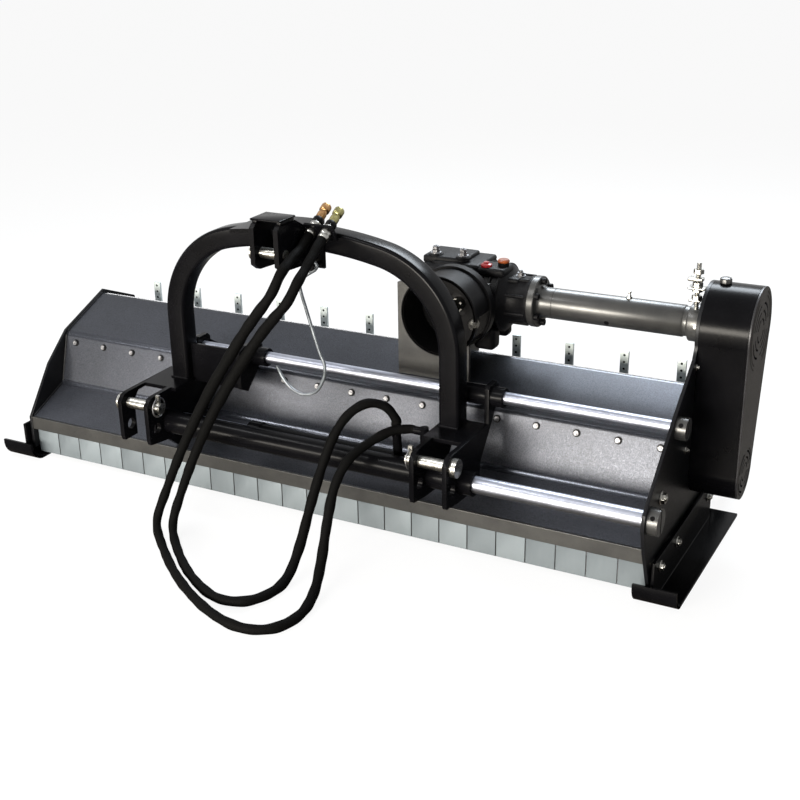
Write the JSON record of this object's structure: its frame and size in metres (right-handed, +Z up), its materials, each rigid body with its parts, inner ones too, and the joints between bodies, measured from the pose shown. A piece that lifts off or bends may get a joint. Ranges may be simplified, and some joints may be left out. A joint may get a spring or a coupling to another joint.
{
  "type": "side-shift flail mower",
  "caption": "Tractor-mounted flail mower: bent hood over a hammer rotor, belt side drive, sliding hitch arch on twin rails, skids, rear roller and a hydraulic side-shift cylinder with hoses.",
  "frame": {"origin": "on the ground under the middle of the mower's bounding box, hoses left out", "axes": "+X along the rotor towards the belt drive, -Y towards the tractor, +Z up"},
  "size_m": [1.974, 1.1678, 0.8004],
  "materials": {
    "deck_paint": "satin",
    "plate_paint": "satin",
    "black_paint": "satin",
    "grey_paint": "satin",
    "cast_black": "painted satin",
    "chrome_rod": "polished",
    "bright_zinc": "zinc plated",
    "zinc_sheet": "galvanised",
    "turned_steel": "turned",
    "iron": "plain",
    "black_plastic": "matt",
    "red_plastic": "gloss",
    "brown_plastic": "gloss",
    "coupler_brass": "plain",
    "belt_rubber": "matt",
    "hose_rubber": "fabric sleeve"
  },
  "bodies": {
    "deck": {"deck_shell": "deck_paint", "left_side_plate": "plate_paint", "right_side_plate": "plate_paint", "front_bar": "plate_paint", "flap_rod": "bright_zinc", "deck_bolts": "bright_zinc", "upper_rail": "chrome_rod", "lower_rail": "chrome_rod", "rail_collars": "turned_steel", "rail_bracket": "black_paint", "tine_bar": "deck_paint", "rake_tines": "zinc_sheet", "gearbox_bracket": "grey_paint", "gearbox_housing": "cast_black", "gearbox_cover": "cast_black", "filler_plug": "red_plastic", "breather_plug": "brown_plastic", "pto_guard": "black_plastic", "drive_tube": "grey_paint", "bearings": "cast_black", "guard_rim": "black_paint", "guard_face": "grey_paint", "guard_knob": "black_plastic", "belt_tensioner": "bright_zinc", "drive_belts": "belt_rubber", "left_skid": "black_paint", "right_skid": "black_paint", "roller_arms": "black_paint", "cylinder_rod": "chrome_rod"},
    "hitch": {"hitch_arch": "black_paint", "top_link_bracket": "black_paint", "carriage_left": "black_paint", "carriage_right": "black_paint", "rail_bushes": "black_paint", "cylinder_barrel": "black_paint", "hitch_pins": "bright_zinc", "linch_pins": "bright_zinc", "hose_couplers": "coupler_brass", "hose_ferrules": "bright_zinc", "hose_outer": "hose_rubber", "hose_inner": "hose_rubber"},
    "input": {"input_shaft": "turned_steel", "bevel_gear": "turned_steel"},
    "drive": {"drive_shaft": "turned_steel", "upper_pulley": "iron"},
    "rotor": {"rotor_tube": "iron", "rotor_lugs": "iron", "lower_pulley": "iron"},
    "flails_1": {"flail_row_1": "iron"},
    "flails_2": {"flail_row_2": "iron"},
    "flails_3": {"flail_row_3": "iron"},
    "flails_4": {"flail_row_4": "iron"},
    "roller": {"rear_roller": "black_paint"},
    "flaps_1": {"flap_group_1": "zinc_sheet"},
    "flaps_2": {"flap_group_2": "zinc_sheet"},
    "flaps_3": {"flap_group_3": "zinc_sheet"},
    "flaps_4": {"flap_group_4": "zinc_sheet"},
    "hook": {"pto_hook": "bright_zinc"},
    "ring_left": {"linch_ring_left": "bright_zinc"},
    "ring_right": {"linch_ring_right": "bright_zinc"}
  },
  "joints": [
    {"name": "side_shift", "type": "slide", "parent": "deck", "child": "hitch", "axis": [1, 0, 0], "range_m": [0, 0.38]},
    {"name": "rotor_spin", "type": "hinge", "parent": "deck", "child": "rotor", "pos_m": [-0.021, 0.0615, 0.205], "axis": [1, 0, 0], "continuous": true},
    {"name": "drive_spin", "type": "hinge", "parent": "deck", "child": "drive", "pos_m": [0.579, 0.0865, 0.54], "axis": [1, 0, 0], "continuous": true},
    {"name": "input_spin", "type": "hinge", "parent": "deck", "child": "input", "pos_m": [0.291, -0.0335, 0.54], "axis": [0, 1, 0], "continuous": true},
    {"name": "roller_spin", "type": "hinge", "parent": "deck", "child": "roller", "pos_m": [-0.021, 0.3265, 0.057], "axis": [1, 0, 0], "continuous": true},
    {"name": "hook_swing", "type": "hinge", "parent": "hitch", "child": "hook", "pos_m": [0.036, -0.2535, 0.668], "axis": [0, 1, 0], "range_deg": [-30, 30]},
    {"name": "ring_left_turn", "type": "hinge", "parent": "hitch", "child": "ring_left", "pos_m": [-0.376, -0.3515, 0.303], "axis": [0, 1, 0], "range_deg": [-150, 0]},
    {"name": "ring_right_turn", "type": "hinge", "parent": "hitch", "child": "ring_right", "pos_m": [0.334, -0.3515, 0.303], "axis": [0, 1, 0], "range_deg": [0, 150]},
    {"name": "flails_1_swing", "type": "hinge", "parent": "rotor", "child": "flails_1", "pos_m": [-0.021, 0.00847, 0.25803], "axis": [1, 0, 0], "range_deg": [-190, 0]},
    {"name": "flails_2_swing", "type": "hinge", "parent": "rotor", "child": "flails_2", "pos_m": [-0.021, 0.00847, 0.15197], "axis": [1, 0, 0], "range_deg": [-140, 50]},
    {"name": "flails_3_swing", "type": "hinge", "parent": "rotor", "child": "flails_3", "pos_m": [-0.021, 0.11453, 0.15197], "axis": [1, 0, 0], "range_deg": [-50, 140]},
    {"name": "flails_4_swing", "type": "hinge", "parent": "rotor", "child": "flails_4", "pos_m": [-0.021, 0.11453, 0.25803], "axis": [1, 0, 0], "range_deg": [0, 190]},
    {"name": "flaps_1_swing", "type": "hinge", "parent": "deck", "child": "flaps_1", "pos_m": [-0.021, -0.2375, 0.098], "axis": [1, 0, 0], "range_deg": [-25, 75]},
    {"name": "flaps_2_swing", "type": "hinge", "parent": "deck", "child": "flaps_2", "pos_m": [-0.021, -0.2375, 0.098], "axis": [1, 0, 0], "range_deg": [-25, 75]},
    {"name": "flaps_3_swing", "type": "hinge", "parent": "deck", "child": "flaps_3", "pos_m": [-0.021, -0.2375, 0.098], "axis": [1, 0, 0], "range_deg": [-25, 75]},
    {"name": "flaps_4_swing", "type": "hinge", "parent": "deck", "child": "flaps_4", "pos_m": [-0.021, -0.2375, 0.098], "axis": [1, 0, 0], "range_deg": [-25, 75]}
  ],
  "couplings": [
    {"joint": "drive_spin", "follows": "rotor_spin", "ratio": 0.68153},
    {"joint": "input_spin", "follows": "rotor_spin", "ratio": 0.22718}
  ]
}
